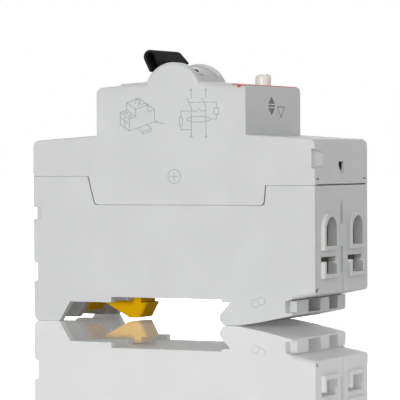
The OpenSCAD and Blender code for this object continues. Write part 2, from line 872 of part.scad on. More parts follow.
module toggle_axle() {
    color("silver")
    bar_y(pivot_x, pivot_z, axle_d, -hy + 1.4, hump_far - 0.5);
}

module toggle_spring() {
    color("silver")
    translate([pivot_x, drum_y0 + 2.9, pivot_z])
        rotate([90, 0, 0])
            coil(2.6, 0.6, 2.7, 3);
}

// The carrier is drawn upright about its shaft and leans towards the hook while the contacts are open
module at_carrier() {
    turn_y(pivot_x, carrier_z, swing)
        translate([pivot_x, 0, carrier_z])
            children();
}

module contact_carrier() {
    fork_z = pivot_z - carrier_z - crank;
    prong = crank_pin_d / 2 + 0.2;
    color("#3f4a52")
    at_carrier() {
        difference() {
            union() {
                bar_y(0, 0, 2 * hub_r, -iy + 0.8, iy - 0.8);
                block([-2, 2], [fork_y0, fork_y1], [0, fork_z - 1]);
                block([-prong - 1.4, prong + 1.4], [fork_y0, fork_y1], [fork_z - 3, fork_z + 1.5]);
                each_pole()
                    block([-arm_x, arm_x], [-arm_w / 2 - 0.5, arm_w / 2 + 0.5], [0, block_h]);
            }
            bar_y(0, 0, shaft_d + 2 * run, -hy, hy);
            block([-prong, prong], [fork_y0 - 1, fork_y1 + 1], [fork_z - 1.7, fork_z + 3]);
        }
    }
}

module carrier_shaft() {
    color("silver")
    bar_y(pivot_x, carrier_z, shaft_d, -iy - 0.8, iy + 0.8);
}

module moving_contact(side) {
    color("#c87f4a")
    at_carrier()
        translate([0, side * pole_y, 0])
            across(-arm_w / 2, arm_w / 2)
                polygon([
                    [-arm_x, block_h], [arm_x + 1.5, block_h], [arm_x + 1.5, block_h + 1.4],
                    [-arm_x + arm_t, block_h + 1.4], [-arm_x + arm_t, contact_arm + tip_d / 2 + 0.4],
                    [-arm_x, contact_arm + tip_d / 2 + 0.4]
                ]);
}

module moving_tip(side) {
    color("#dcdcdc")
    at_carrier()
        bar_x(side * pole_y, contact_arm, tip_d, -tip_reach, -arm_x);
}

module fixed_tip(side) {
    color("#dcdcdc")
    bar_x(side * pole_y, contact_z, tip_d + 0.4, contact_face - tip_h, contact_face);
}

// Two tongues and their riser inside a terminal, drawn at the hook end
module strap_fork(side) {
    end_x = screw_x + cage_l / 2 - 0.2;
    translate([0, side * pole_y, 0]) {
        block([riser_x, end_x], [-tongue_w / 2, tongue_w / 2], [cable_tongue_z, cable_tongue_z + strap_t]);
        block([riser_x, end_x], [-tongue_w / 2, tongue_w / 2], [bus_tongue_z, bus_tongue_z + strap_t]);
        block(
            [riser_x, riser_x + strap_t], [-tongue_w / 2, tongue_w / 2],
            [bus_tongue_z, cable_tongue_z + strap_t]
        );
    }
}

module line_strap(side) {
    back = contact_face - tip_h;
    color("#c87f4a") {
        mirror([1, 0, 0])
            strap_fork(side);
        translate([0, side * pole_y, 0])
            across(-upright_w / 2, upright_w / 2)
                polygon([
                    [-riser_x - 0.1, cable_tongue_z], [back, cable_tongue_z],
                    [back, contact_z + tip_d / 2 + 0.6], [back - strap_t, contact_z + tip_d / 2 + 0.6],
                    [back - strap_t, cable_tongue_z + strap_t], [-riser_x - 0.1, cable_tongue_z + strap_t]
                ]);
    }
}

module load_strap(side) {
    bend = ring_x + ring_l + 1.5;
    color("#c87f4a") {
        strap_fork(side);
        translate([0, 0, ring_z - strap_t / 2])
            linear_extrude(strap_t)
                polygon([
                    [riser_x + 0.1, side * (pole_y - 2)], [riser_x + 0.1, side * (pole_y + 2)],
                    [bend, side * (pole_y + 2)], [bend, side * bar_y1], [strap_end_x, side * bar_y1],
                    [strap_end_x, side * bar_y0], [bend + 3.5, side * bar_y0],
                    [bend + 3.5, side * (pole_y - 2)]
                ]);
    }
}

// Flexible braid from the strap's end up to the foot of the moving arm
module braid(side) {
    low = [strap_end_x + 0.9, side * (bar_y0 + bar_y1) / 2, ring_z + strap_t / 2 + 0.1];
    reach = arm_x + 1;
    high = [
        pivot_x + reach * cos(swing) + block_h * sin(swing),
        side * pole_y,
        carrier_z - reach * sin(swing) + block_h * cos(swing) - 0.2
    ];
    rise = (high[2] - low[2]) / 2;
    color("#b5703c")
    tube(
        [
            for (i = [0 : 12])
                let (t = i / 12, s = 1 - t)
                s * s * s * low + 3 * s * s * t * (low + [0, 0, rise]) + 3 * s * t * t * (high - [0, 0, rise])
                    + t * t * t * high
        ],
        0.7, 8, [1, 0, 0]
    );
}

module cage(end, side) {
    color("#b9bcbc")
    translate([end * screw_x, side * pole_y, 0])
        difference() {
            block(
                [-cage_l / 2, cage_l / 2], [-cage_out, cage_out], [cage_z, top_z + top_h]
            );
            block([-cage_l, cage_l], [-cage_in, cage_in], [cage_z + bar_h, mid_z]);
            block([-cage_l, cage_l], [-cage_in, cage_in], [mid_z + mid_h, top_z]);
            bar_z(0, 0, screw_d + 2 * run, top_z - 1, top_z + top_h + 1);
        }
}

module screw(end, side) {
    color("#a9adb0")
    translate([end * screw_x, side * pole_y, 0])
        difference() {
            union() {
                bar_z(0, 0, screw_d, cable_tongue_z + strap_t + 0.1, head_z + 0.1);
                bar_z(0, 0, head_d, head_z, head_z + head_h);
            }
            block([-head_d, head_d], [-0.6, 0.6], [head_z + head_h - 1.4, head_z + head_h + 1]);
            block([-0.6, 0.6], [-2.4, 2.4], [head_z + head_h - 1.4, head_z + head_h + 1]);
        }
}

module sensor_core() {
    color("#4a5560")
    difference() {
        bar_x(0, ring_z, ring_d, ring_x, ring_x + ring_l);
        bar_x(0, ring_z, ring_bore, ring_x - 1, ring_x + ring_l + 1);
    }
}

module sensor_winding() {
    layer = 0.6;
    color("#b06a35")
    translate([ring_x + ring_l / 2, 0, ring_z])
        rotate([0, 90, 0])
            rotate([0, 0, 130])
                rotate_extrude(angle = 100)
                    difference() {
                        translate([ring_bore / 2 - layer, -ring_l / 2 - layer])
                            square([(ring_d - ring_bore) / 2 + 2 * layer, ring_l + 2 * layer]);
                        translate([ring_bore / 2, -ring_l / 2])
                            square([(ring_d - ring_bore) / 2, ring_l]);
                    }
}

module relay_bracket() {
    ear = lever_w / 2 + gap;
    color("#e4e2d8")
    difference() {
        union() {
            block([shelf_x, part_x + part_t], [-iy + 0.3, iy - 0.3], [shelf_z, deck_z]);
            for (side = [-1, 1]) {
                y = plunger_y + side * (ear + 0.6);
                top = trip_pin_z + 2;
                block([lever_x - 1, lever_x + lever_t + 1], [y - 0.6, y + 0.6], [deck_z - 0.1, top]);
            }
            block([ifx - 3.2, ifx - 0.6], [pillar_y - pillar_w, pillar_y], [deck_z - 0.1, leaf_z]);
        }
        bar_y(lever_x + lever_t / 2, trip_pin_z, trip_pin_d + 2 * fit, -iy, 0);
        for (x = [resistor_x0, resistor_x1])
            bar_z(x, resistor_y, lead_d + 2 * fit, shelf_z - 1, deck_z + 1);
    }
}

module relay_case() {
    color("#c9c6ba")
    difference() {
        block([relay_x, relay_x + relay_l], [relay_y0, relay_y0 + relay_w], [deck_z, deck_z + relay_h]);
        bar_x(plunger_y, plunger_z, plunger_d + 2 * run, relay_x - 1, relay_x + plunger_in + 1);
    }
}

module relay_plunger() {
    color("silver")
    bar_x(plunger_y, plunger_z, plunger_d, relay_x - plunger_travel, relay_x + plunger_in);
}

module trip_lever() {
    x = lever_x;
    color("#3f4a52")
    difference() {
        union() {
            block(
                [x, x + lever_t], [plunger_y - lever_w / 2, plunger_y + lever_w / 2],
                [plunger_z - 2, trip_pin_z + 4]
            );
            bar_y(x + lever_t / 2, trip_pin_z, 3.2, plunger_y - lever_w / 2, plunger_y + lever_w / 2);
        }
        bar_y(x + lever_t / 2, trip_pin_z, trip_pin_d + 2 * run, -iy, 0);
    }
}

module trip_pin() {
    half = lever_w / 2 + gap + 1.2;
    color("silver")
    bar_y(lever_x + lever_t / 2, trip_pin_z, trip_pin_d, plunger_y - half, plunger_y + half);
}

module test_leaf() {
    color("#c9a24a")
    block(
        [button_x - stem_d, ifx - 0.6], [button_y - leaf_w / 2, button_y + leaf_w / 2],
        [leaf_z, leaf_z + leaf_t]
    );
}

module test_resistor() {
    z = deck_z + resistor_d / 2 + 0.1;
    color("#8d9aa0") {
        bar_x(resistor_y, z, resistor_d, resistor_x0 + 1.5, resistor_x1 - 1.5);
        bar_x(resistor_y, z, lead_d, resistor_x0 - lead_d / 2, resistor_x1 + lead_d / 2);
        for (x = [resistor_x0, resistor_x1])
            bar_z(x, resistor_y, lead_d, shelf_z, z);
    }
}

base_housing();
top_cover();
front_label();
din_clip();
test_button();
button_spring();
toggle_handle();
toggle_drum();
toggle_axle();
toggle_spring();
contact_carrier();
carrier_shaft();
moving_contact(-1);  // moving_contact_near
moving_contact(1);  // moving_contact_far
moving_tip(-1);  // moving_tip_near
moving_tip(1);  // moving_tip_far
fixed_tip(-1);  // fixed_tip_near
fixed_tip(1);  // fixed_tip_far
line_strap(-1);  // line_strap_near
line_strap(1);  // line_strap_far
load_strap(-1);  // load_strap_near
load_strap(1);  // load_strap_far
braid(-1);  // braid_near
braid(1);  // braid_far
cage(-1, -1);  // line_cage_near
cage(-1, 1);  // line_cage_far
cage(1, -1);  // load_cage_near
cage(1, 1);  // load_cage_far
screw(-1, -1);  // line_screw_near
screw(-1, 1);  // line_screw_far
screw(1, -1);  // load_screw_near
screw(1, 1);  // load_screw_far
sensor_core();
sensor_winding();
relay_bracket();
relay_case();
relay_plunger();
trip_lever();
trip_pin();
test_leaf();
test_resistor();
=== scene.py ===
import json
import math

import bmesh
import bpy
import numpy as np
from mathutils import Matrix, Vector

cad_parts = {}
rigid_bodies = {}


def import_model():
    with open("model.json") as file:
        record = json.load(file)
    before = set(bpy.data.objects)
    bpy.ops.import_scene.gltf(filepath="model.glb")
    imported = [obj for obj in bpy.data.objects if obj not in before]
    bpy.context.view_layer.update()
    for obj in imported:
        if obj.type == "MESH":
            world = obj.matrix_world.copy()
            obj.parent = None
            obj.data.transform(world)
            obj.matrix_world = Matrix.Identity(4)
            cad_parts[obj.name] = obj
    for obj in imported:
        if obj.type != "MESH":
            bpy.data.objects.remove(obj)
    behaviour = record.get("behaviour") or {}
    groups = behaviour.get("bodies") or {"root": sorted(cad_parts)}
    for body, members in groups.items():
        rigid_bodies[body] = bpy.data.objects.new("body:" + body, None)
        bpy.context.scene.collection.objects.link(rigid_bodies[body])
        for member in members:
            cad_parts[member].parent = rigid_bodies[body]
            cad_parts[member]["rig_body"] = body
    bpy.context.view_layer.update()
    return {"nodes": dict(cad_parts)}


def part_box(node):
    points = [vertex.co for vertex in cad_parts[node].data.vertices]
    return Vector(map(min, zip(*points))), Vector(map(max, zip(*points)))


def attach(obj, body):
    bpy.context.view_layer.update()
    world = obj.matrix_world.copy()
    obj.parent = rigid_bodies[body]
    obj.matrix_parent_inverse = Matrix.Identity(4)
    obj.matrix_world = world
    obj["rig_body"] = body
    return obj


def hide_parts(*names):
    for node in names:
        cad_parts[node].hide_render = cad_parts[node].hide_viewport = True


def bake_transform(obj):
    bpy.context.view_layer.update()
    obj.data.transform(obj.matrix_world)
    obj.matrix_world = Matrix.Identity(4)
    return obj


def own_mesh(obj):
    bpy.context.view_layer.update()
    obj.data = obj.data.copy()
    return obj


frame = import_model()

MM = 0.001

# Places on the housing, in millimetres, as the solids have them
SIDE_Y = 17.5
FRONT_X = 22.5
FRONT_Z = 65.2
CROWN_X = 8.0
FRONT_FALL = 1.3 / 14.5
SHOULDER_Z = 50.85
SHOULDER_FALL = 1.2 / 20.0
POLE_Y = 8.75

# Painted shade: the X of the floors of two small holes in the hook end, where dark patches stand for their
# shade
CORNER_SHADE_X = 42.42
WINDOW_SHADE_X = 41.97

# Seam of base and cover: its three heights, then the depth and the height of the strip that closes it
SEAM_CLIP_Z = 39.7
SEAM_MIDDLE_Z = 32.0
SEAM_HOOK_Z = 37.3
STRIP_DEPTH = 0.5
STRIP_HEIGHT = 0.09

# Toggle: its axle in X and Z, the radius of its drum, its lean at rest in degrees, and the coil on the axle
PIVOT = (0.5, 62.0)
DRUM_R = 7.4
REST_LEAN = 35.0
TOGGLE_COIL_R = 2.6
TOGGLE_WIRE = 0.6

# Test button: its place and its coil
BUTTON_X = 15.3
BUTTON_COIL_R = 2.0
BUTTON_WIRE = 0.5

# Sensor ring and its winding, whose start and span are in degrees
RING_X = (7.5, 17.5)
RING_BORE = 11.0
RING_OUT = 24.0
RING_Z = 21.5
WINDING_START = 41.5
WINDING_SPAN = 97.0
WINDING_WIRE = 0.26
WINDING_SLIP = 0.02

# Braids, from a load strap to the carrier: the carrier's shaft and lean at rest, the two ends, the strands
CARRIER_Z = 29.0
CARRIER_LEAN = 5.03194
BRAID_LOW = (5.9, 2.6, 22.2)
BRAID_ARM = (4.3, 4.0)
BRAID_SINK = 0.2
BRAID_R = 0.7
STRAND_R = 0.16
STRAND_WEAVE = 0.07

# Prints: the ink's foot and top against the face, and the widths of its lines
INK_FOOT = -0.01
INK_TOP = 0.025
CROSS_LINE = 0.12
SKETCH_LINE = 0.15
DIAGRAM_LINE = 0.16
FRONT_LINE = 0.22
ARROW_LINE = 0.24
SIGN_LINE = 0.3
NUMBER_LINE = 0.32
DASH_LINE = 0.32
BAR_LINE = 0.34

# The bead of a moulded ring starts this far under the face
BEAD_SINK = 0.02

# Edges flatter than this many degrees are shaded round
SMOOTH = 40
WINDING_SMOOTH = 60

WHITE = (1, 1, 1, 1)


# Meshes

def grid_faces(rows, columns, rows_closed, columns_closed):
    """Four corners of each cell of a grid of rows by columns, with the last row or column joined to the
    first where that direction is closed."""
    r = np.arange(rows if rows_closed else rows - 1)[:, None]
    c = np.arange(columns if columns_closed else columns - 1)[None, :]
    r_next = (r + 1) % rows
    c_next = (c + 1) % columns
    cells = np.stack(np.broadcast_arrays(
        r * columns + c, r * columns + c_next, r_next * columns + c_next, r_next * columns + c), axis=-1)
    return cells.reshape(-1, 4)


def join(shapes):
    """One list of points and faces out of several, each face list moved on by the points before it."""
    points, faces, start = [], [], 0
    for p, f in shapes:
        points.append(p)
        faces += [tuple(int(i) + start for i in face) for face in f]
        start += len(p)
    return np.concatenate(points), faces


def piece(name, points, faces, look, body, smooth_angle=None):
    """A piece of the scene from its points in millimetres and its faces. Faces are turned outwards, and edges
    flatter than the angle are shaded round."""
    mesh = bpy.data.meshes.new(name)
    mesh.from_pydata((np.asarray(points) * MM).tolist(), [], faces)
    shell = bmesh.new()
    shell.from_mesh(mesh)
    bmesh.ops.recalc_face_normals(shell, faces=shell.faces)
    shell.to_mesh(mesh)
    shell.free()
    if smooth_angle:
        mesh.shade_smooth()
        mesh.set_sharp_from_angle(angle=math.radians(smooth_angle))
    mesh.materials.append(look)
    made = bpy.data.objects.new(name, mesh)
    bpy.context.scene.collection.objects.link(made)
    if body:
        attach(made, body)
    return made


def unit(v):
    """Vectors divided by their own length."""
    return v / np.linalg.norm(v, axis=-1, keepdims=True)


def stroke(path, width, closed=False):
    """Ink line: a flat box profile carried along a path in the plane of the print. Its two rims are the path
    moved half the width along the mitre of the neighbouring directions, and its height runs from just under
    the face to just over it."""
    p = np.asarray(path, float)
    if closed:
        before, after = np.roll(p, 1, 0), np.roll(p, -1, 0)
    else:
        before = np.vstack([2 * p[0] - p[1], p[:-1]])
        after = np.vstack([p[1:], 2 * p[-1] - p[-2]])
    quarter_turn = np.array([[0.0, 1.0], [-1.0, 0.0]])
    n_in, n_out = unit(p - before) @ quarter_turn, unit(after - p) @ quarter_turn
    rim = width / 2 * (n_in + n_out) / (1 + np.sum(n_in * n_out, 1, keepdims=True))
    corners = [(1, INK_FOOT), (-1, INK_FOOT), (-1, INK_TOP), (1, INK_TOP)]
    rings = np.stack([np.column_stack([p + s * rim, np.full(len(p), h)]) for s, h in corners], axis=1)
    faces = grid_faces(len(p), 4, closed, True).tolist()
    if not closed:
        end = 4 * (len(p) - 1)
        faces += [[0, 1, 2, 3], [end, end + 1, end + 2, end + 3]]
    return rings.reshape(-1, 3), faces


def lines(paths, width, closed=False):
    """Ink lines of one width, each path carried as a stroke."""
    return [stroke(path, width, closed) for path in paths]


def patch(outline):
    """Filled ink shape: the outline at the foot and again at the top, closed by two faces and its rim."""
    p = np.asarray(outline, float)
    n = len(p)
    points = np.vstack([np.column_stack([p, np.full(n, h)]) for h in (INK_FOOT, INK_TOP)])
    faces = [list(range(n)), list(range(n, 2 * n))] + grid_faces(2, n, False, True).tolist()
    return points, faces


def circle(centre, radius, count):
    """Points of a circle: the centre plus the radius times the cosine and sine of evenly spaced angles."""
    a = np.radians(360.0 * np.arange(count) / count)
    return np.column_stack([centre[0] + radius * np.cos(a), centre[1] + radius * np.sin(a)])


def bead_ring(centre, radius, width, height, spokes=64, steps=7):
    """Moulded ring: a half-round bead, width by height, turned about the middle of the ring."""
    a = np.linspace(0, 2 * np.pi, spokes, endpoint=False)[:, None]
    b = np.linspace(0, np.pi, steps)[None, :]
    reach = radius - width / 2 * np.cos(b)
    top = np.broadcast_to(height * np.sin(b) - BEAD_SINK, (spokes, steps))
    points = np.stack([centre[0] + reach * np.cos(a), centre[1] + reach * np.sin(a), top], axis=-1)
    return points.reshape(-1, 3), grid_faces(spokes, steps, True, True).tolist()


def tube(path, across, radius, sides):
    """Round wire: at each point of the path a circle of the given radius, in the plane of the across
    direction and of the cross product of the path's direction with it. The ends are closed by flat faces."""
    along = unit(np.gradient(path, axis=0))
    n = unit(across - np.sum(across * along, 1, keepdims=True) * along)
    b = np.cross(along, n)
    a = np.linspace(0, 2 * np.pi, sides, endpoint=False)[None, :, None]
    rings = path[:, None, :] + radius * (np.cos(a) * n[:, None, :] + np.sin(a) * b[:, None, :])
    last = sides * (len(path) - 1)
    faces = grid_faces(len(path), sides, False, True).tolist()
    faces += [list(range(sides)), list(range(last, last + sides))]
    return rings.reshape(-1, 3), faces


# Finishes

def finish(name):
    """An empty node finish: its tree and its main shader."""
    made = bpy.data.materials.new(name)
    made.use_nodes = True
    tree = made.node_tree
    tree.nodes.clear()
    out = tree.nodes.new("ShaderNodeOutputMaterial")
    shader = tree.nodes.new("ShaderNodeBsdfPrincipled")
    tree.links.new(shader.outputs["BSDF"], out.inputs["Surface"])
    return made, tree, shader


def add(tree, kind, values=None, **settings):
    """A node of the tree with its settings and the values of its sockets."""
    node = tree.nodes.new("ShaderNode" + kind)
    for key, value in settings.items():
        setattr(node, key, value)
    for key, value in (values or {}).items():
        node.inputs[key].default_value = value
    return node


def spread(tree, size, detail=2.0, stretch=None):
    """Soft noise over the piece's own coordinates; size is the width of its marks in millimetres."""
    at = add(tree, "TexCoord").outputs["Object"]
    if stretch:
        turn = add(tree, "Mapping", {"Scale": stretch})
        tree.links.new(at, turn.inputs["Vector"])
        at = turn.outputs["Vector"]
    noise = add(tree, "TexNoise", {"Scale": 1 / (size * MM), "Detail": detail, "Roughness": 0.55})
    tree.links.new(at, noise.inputs["Vector"])
    return noise.outputs["Fac"]


def ramp(tree, factor, stops, constant=False):
    """Colour that runs through the stops as the factor goes from 0 to 1."""
    node = add(tree, "ValToRGB")
    node.color_ramp.interpolation = "CONSTANT" if constant else "LINEAR"
    marks = node.color_ramp.elements
    while len(marks) < len(stops):
        marks.new(0.5)
    for mark, (place, colour) in zip(marks, stops):
        mark.position = place
        mark.color = (*colour, 1)
    tree.links.new(factor, node.inputs["Fac"])
    return node.outputs["Color"]


def between(tree, factor, low, high, start=0.3, end=0.7):
    """A number that runs from low to high as the factor runs from start to end."""
    node = add(tree, "MapRange", {"From Min": start, "From Max": end, "To Min": low, "To Max": high})
    tree.links.new(factor, node.inputs["Value"])
    return node.outputs["Result"]


def times(colour, k):
    """A colour with each of its three parts multiplied by one number, up to 1."""
    return tuple(min(1.0, c * k) for c in colour)


def lifted_skin(tree, shader, height, strength, distance, soft):
    """Bump on rounded edges: the height lifts the skin by up to the distance in millimetres, and the normal
    of the rounded edge carries it."""
    skin = add(tree, "Bump", {"Strength": strength, "Distance": distance * MM})
    tree.links.new(height, skin.inputs["Height"])
    tree.links.new(soft.outputs["Normal"], skin.inputs["Normal"])
    tree.links.new(skin.outputs["Normal"], shader.inputs["Normal"])


def moulded(name, colour, rough=0.5, drift=0.03, grain=0.35, lift=0.012, edge=0.3, edge_rub_and_highlight=1.06, shine=0.5):
    """Moulded plastic: its colour drifts slowly between two near shades, a fine eroded grain lifts the skin,
    the gloss varies, and the rounded edges are painted paler: a painted highlight, with a little rub wear."""
    made, tree, shader = finish(name)
    slow = spread(tree, size=14.0)
    fine = spread(tree, size=grain, detail=3.0)
    shade = ramp(tree, slow, [(0.3, times(colour, 1 - drift)), (0.7, times(colour, 1 + drift))])
    soft = add(tree, "Bevel", {"Radius": edge * MM}, samples=6)
    flat = add(tree, "NewGeometry")
    facing = add(tree, "VectorMath", operation="DOT_PRODUCT")
    tree.links.new(soft.outputs["Normal"], facing.inputs[0])
    tree.links.new(flat.outputs["Normal"], facing.inputs[1])
    # Painted highlight, with a little rub wear: at the edges, where the rounded normal leaves the flat one,
    # the colour is mixed towards a paler copy of itself.
    rubbed_and_highlit_edge = between(tree, facing.outputs["Value"], low=0.8, high=0.0, start=0.75, end=0.99)
    mix = add(tree, "MixRGB", {"Color2": (*times(colour, edge_rub_and_highlight), 1)})
    tree.links.new(rubbed_and_highlit_edge, mix.inputs["Fac"])
    tree.links.new(shade, mix.inputs["Color1"])
    tree.links.new(mix.outputs["Color"], shader.inputs["Base Color"])
    shader.inputs["Specular IOR Level"].default_value = shine
    tree.links.new(between(tree, fine, low=rough - 0.06, high=rough + 0.06), shader.inputs["Roughness"])
    lifted_skin(tree, shader, fine, strength=0.35, distance=lift, soft=soft)
    return made


def metal(name, colour, tarnish, rough=0.3):
    """Plated or bare metal: fine drawn lines along one axis lift the skin, and the colour runs to a tarnished
    shade in patches."""
    made, tree, shader = finish(name)
    patches = spread(tree, size=3.0, detail=4.0)
    drawn = spread(tree, size=0.12, detail=2.0, stretch=(1.0, 1.0, 0.08))
    shader.inputs["Metallic"].default_value = 1.0
    shade = ramp(tree, patches, [(0.35, colour), (0.75, tarnish)])
    tree.links.new(shade, shader.inputs["Base Color"])
    tree.links.new(between(tree, patches, low=rough, high=rough + 0.18), shader.inputs["Roughness"])
    soft = add(tree, "Bevel", {"Radius": 0.12 * MM}, samples=4)
    lifted_skin(tree, shader, drawn, strength=0.25, distance=0.01, soft=soft)
    return made


def ink(name, colour, shine=0.5):
    """Pad-printed ink: its film is a little thin in fine specks, where it runs paler."""
    made, tree, shader = finish(name)
    shader.inputs["Specular IOR Level"].default_value = shine
    specks = spread(tree, size=0.25, detail=3.0)
    shade = ramp(tree, specks, [(0.3, colour), (0.8, times(colour, 1.5))])
    tree.links.new(shade, shader.inputs["Base Color"])
    tree.links.new(between(tree, specks, low=0.4, high=0.6), shader.inputs["Roughness"])
    return made


def banded(name, low, high, bands):
    """Resistor lacquer: bands of colour along the length of the piece, from its low to its high end."""
    made, tree, shader = finish(name)
    at = add(tree, "SeparateXYZ")
    tree.links.new(add(tree, "TexCoord").outputs["Object"], at.inputs["Vector"])
    along = between(tree, at.outputs["X"], low=0.0, high=1.0, start=low, end=high)
    tree.links.new(ramp(tree, along, bands, constant=True), shader.inputs["Base Color"])
    gloss = spread(tree, size=0.6)
    tree.links.new(between(tree, gloss, low=0.22, high=0.34), shader.inputs["Roughness"])
    return made


HOUSING_GREY = (0.660, 0.672, 0.662)
housing_plastic = moulded("housing_plastic", HOUSING_GREY)
cover_plastic = moulded("cover_plastic", times(HOUSING_GREY, 1.01), grain=0.4)
drum_plastic = moulded("drum_plastic", times(HOUSING_GREY, 1.06), rough=0.42, edge=0.2)
clip_plastic = moulded(
    "clip_yellow_plastic", (0.95, 0.53, 0.002), rough=0.4, drift=0.05, edge_rub_and_highlight=1.1, shine=0.02)
button_plastic = moulded("button_cream_plastic", (0.86, 0.84, 0.79), rough=0.36, drift=0.02, edge=0.25)
toggle_plastic = moulded(
    "toggle_black_plastic", (0.030, 0.0288, 0.0284), rough=0.45, drift=0.12, edge_rub_and_highlight=1.5, shine=0.004)
label_film = moulded("label_red_film", (0.66, 0.055, 0.04), rough=0.4, drift=0.06, edge=0.05)
carrier_plastic = moulded("carrier_dark_plastic", (0.05, 0.054, 0.06), rough=0.5, drift=0.1)
relay_plastic = moulded("relay_dark_plastic", (0.03, 0.033, 0.04), rough=0.4, drift=0.1)
bracket_plastic = moulded("bracket_pale_plastic", (0.73, 0.72, 0.66), rough=0.5, drift=0.04)
core_resin = moulded("core_resin", (0.065, 0.09, 0.12), rough=0.3, drift=0.15, grain=1.2, lift=0.05)
bright_steel = metal("bright_steel", (0.62, 0.62, 0.61), (0.50, 0.49, 0.47))
plated_steel = metal("plated_steel", (0.66, 0.65, 0.61), (0.54, 0.51, 0.42), rough=0.34)
spring_steel = metal("spring_steel", (0.52, 0.52, 0.53), (0.40, 0.39, 0.38), rough=0.28)
strap_copper = metal("strap_copper", (0.80, 0.42, 0.26), (0.62, 0.28, 0.15), rough=0.26)
strand_copper = metal("strand_copper", (0.76, 0.38, 0.22), (0.60, 0.27, 0.14), rough=0.32)
contact_silver = metal("contact_silver", (0.86, 0.84, 0.80), (0.70, 0.67, 0.60), rough=0.2)
leaf_bronze = metal("leaf_bronze", (0.72, 0.47, 0.24), (0.56, 0.34, 0.15), rough=0.28)
print_ink = ink("print_ink", (0.27, 0.29, 0.34))
mark_ink = ink("mark_ink", (0.125, 0.13, 0.135))
# Near-black ink for the bar on the drum, also used as painted shade in two holes of the hook end
dark_ink_and_painted_shade = ink("dark_ink_and_painted_shade", (0.008, 0.008, 0.009), shine=0.02)

# Colours of the resistor: its leads, its body and its bands
LEAD = (0.62, 0.60, 0.56)
SAND = (0.62, 0.46, 0.27)
BROWN = (0.16, 0.05, 0.02)
DARK = (0.02, 0.02, 0.02)
GOLD = (0.5, 0.3, 0.05)
resistor_low, resistor_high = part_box("test_resistor")
resistor_lacquer = banded("resistor_lacquer", resistor_low.x, resistor_high.x, [
    (0.0, LEAD), (0.2, SAND), (0.32, BROWN), (0.37, SAND), (0.43, DARK), (0.48, SAND),
    (0.54, BROWN), (0.59, SAND), (0.68, GOLD), (0.73, SAND), (0.8, LEAD)])

NODE_FINISH = {
    "base_housing": housing_plastic,
    "top_cover": cover_plastic,
    "front_label": label_film,
    "din_clip": clip_plastic,
    "test_button": button_plastic,
    "button_spring": spring_steel,
    "toggle_handle": toggle_plastic,
    "toggle_drum": drum_plastic,
    "toggle_axle": bright_steel,
    "toggle_spring": spring_steel,
    "contact_carrier": carrier_plastic,
    "carrier_shaft": bright_steel,
    "moving_contact": strap_copper,
    "moving_tip": contact_silver,
    "fixed_tip": contact_silver,
    "line_strap": strap_copper,
    "load_strap": strap_copper,
    "braid": strand_copper,
    "line_cage": plated_steel,
    "load_cage": plated_steel,
    "line_screw": plated_steel,
    "load_screw": plated_steel,
    "sensor_core": core_resin,
    "sensor_winding": strand_copper,
    "relay_bracket": bracket_plastic,
    "relay_case": relay_plastic,
    "relay_plunger": bright_steel,
    "trip_lever": carrier_plastic,
    "trip_pin": bright_steel,
    "test_leaf": leaf_bronze,
    "test_resistor": resistor_lacquer,
}
for node_name, node in frame["nodes"].items():
    stem = node_name.removesuffix("_near").removesuffix("_far")
    node.data.materials.clear()
    node.data.materials.append(NODE_FINISH[stem])


# Prints, and painted shade in two small holes of the hook end

def on_near_side(p):
    """Print plane to the near side: across is X, up is Z, and the ink stands out along -Y."""
    return np.column_stack([p[:, 0], -SIDE_Y - p[:, 2], p[:, 1]])


def on_far_side(p):
    """Print plane to the far side: across is X, up is Z, and the ink stands out along +Y."""
    return np.column_stack([p[:, 0], SIDE_Y + p[:, 2], p[:, 1]])


def on_front_end(p):
    """Print plane to the end of the front block: across is Y, up is Z, and the ink stands out along +X."""
    return np.column_stack([FRONT_X + p[:, 2], p[:, 0], p[:, 1]])


def on_front(p):
    """Print plane to the front: X and Y as they are, Z on the flat crown and on the slope beyond it."""
    z = FRONT_Z - np.maximum(p[:, 0] - CROWN_X, 0) * FRONT_FALL
    return np.column_stack([p[:, 0], p[:, 1], z + p[:, 2]])


def on_shoulders(p):
    """Print plane to the shoulders: X and Y as they are, Z falls from the front block to the ends."""
    z = SHOULDER_Z - (np.abs(p[:, 0]) - FRONT_X) * SHOULDER_FALL
    return np.column_stack([p[:, 0], p[:, 1], z + p[:, 2]])


def on_drum(p):
    """Print plane wrapped on the drum: across is the way round the drum from the handle, up is Y."""
    a = p[:, 0] / DRUM_R - math.radians(REST_LEAN)
    r = DRUM_R + p[:, 2]
    return np.column_stack([PIVOT[0] + r * np.sin(a), p[:, 1], PIVOT[1] + r * np.cos(a)])


def shade_plane_in_hook_end(x):
    """Plane for painted shade, set back in a hole of the hook end at the given X: across is Y, up is Z."""
    return lambda p: np.column_stack([x + p[:, 2], p[:, 0], p[:, 1]])


def printed(name, shapes, lay, look, body):
    """A print or a patch of painted shade: its ink shapes joined and laid on a face of the object."""
    points, faces = join(shapes)
    piece(name, lay(points), faces, look, body)


SIGNS = {
    "1": [[(0.15, 0.78), (0.42, 1.0), (0.42, 0.0)]],
    "2": [[(0.05, 0.75), (0.12, 0.93), (0.32, 1.0), (0.52, 0.93), (0.6, 0.72), (0.5, 0.5), (0.05, 0.0),
           (0.62, 0.0)]],
    "3": [[(0.06, 0.85), (0.2, 0.98), (0.42, 0.98), (0.56, 0.82), (0.52, 0.62), (0.34, 0.54)],
          [(0.34, 0.54), (0.56, 0.44), (0.6, 0.22), (0.44, 0.03), (0.2, 0.02), (0.04, 0.16)]],
    "4": [[(0.46, 0.0), (0.46, 1.0), (0.02, 0.3), (0.64, 0.3)]],
    "T": [[(0.3, 0.0), (0.3, 1.0)], [(0.0, 1.0), (0.6, 1.0)]],
}
SIGN_ACROSS = (0, -1)
SIGN_UP = (1, 0)


def character(sign, at, height, width):
    """A plain character, read from the clip end: its strokes times the height, laid along the two
    directions of the sign."""
    turn = np.array([SIGN_ACROSS, SIGN_UP], float) * height
    return lines([np.asarray(path) @ turn + np.asarray(at) for path in SIGNS[sign]], width)


